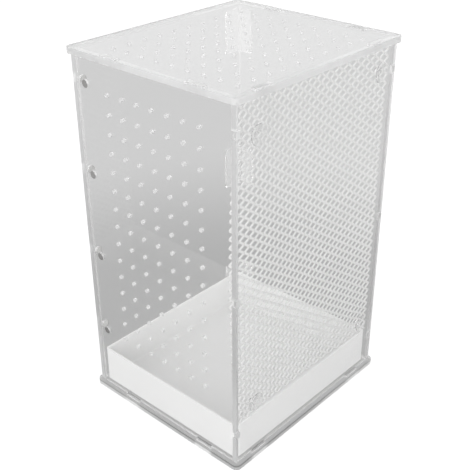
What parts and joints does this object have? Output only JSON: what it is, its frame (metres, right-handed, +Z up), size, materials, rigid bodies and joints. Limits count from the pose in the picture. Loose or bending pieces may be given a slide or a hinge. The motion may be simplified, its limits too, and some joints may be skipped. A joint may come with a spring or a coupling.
{
  "type": "acrylic terrarium",
  "caption": "Tall clear acrylic terrarium with vent holes in the front and lid, a white tray, a climbing net on suction cups, and a hinged side door that shuts on magnets.",
  "frame": {"origin": "middle of the base plate's bottom face", "axes": "+Z up, -Y to the ventilated front panel, +X to the wall with the net, -X to the door"},
  "size_m": [0.209, 0.235, 0.3805],
  "materials": {
    "clear_acrylic": "polished clear acrylic sheet",
    "white_tray": "smooth white plastic",
    "white_net": "moulded white plastic net",
    "clear_cup": "soft clear vinyl",
    "nickel_magnet": "nickel plated",
    "clear_hinge": "moulded clear acrylic",
    "clear_pin": "clear plastic rod"
  },
  "bodies": {
    "enclosure": {"base_plate": "clear_acrylic", "lid_plate": "clear_acrylic", "front_panel": "clear_acrylic", "right_panel": "clear_acrylic", "back_panel": "clear_acrylic", "tray": "white_tray", "climbing_net": "white_net", "suction_cup_front_top": "clear_cup", "suction_cup_back_top": "clear_cup", "suction_cup_front_low": "clear_cup", "suction_cup_back_low": "clear_cup", "front_magnet_1": "nickel_magnet", "front_magnet_2": "nickel_magnet", "front_magnet_3": "nickel_magnet", "front_magnet_4": "nickel_magnet", "hinge_frame_leaf_low": "clear_hinge", "hinge_frame_leaf_middle": "clear_hinge", "hinge_frame_leaf_top": "clear_hinge", "hinge_pin_low": "clear_pin", "hinge_pin_middle": "clear_pin", "hinge_pin_top": "clear_pin"},
    "door": {"side_door": "clear_acrylic", "door_magnet_1": "nickel_magnet", "door_magnet_2": "nickel_magnet", "door_magnet_3": "nickel_magnet", "door_magnet_4": "nickel_magnet", "hinge_door_leaf_low": "clear_hinge", "hinge_door_leaf_middle": "clear_hinge", "hinge_door_leaf_top": "clear_hinge"}
  },
  "joints": [
    {"name": "door_hinge", "type": "hinge", "parent": "enclosure", "child": "door", "pos_m": [-0.1025, 0.1155, 0.19025], "axis": [0, 0, -1], "range_deg": [0, 260]}
  ]
}
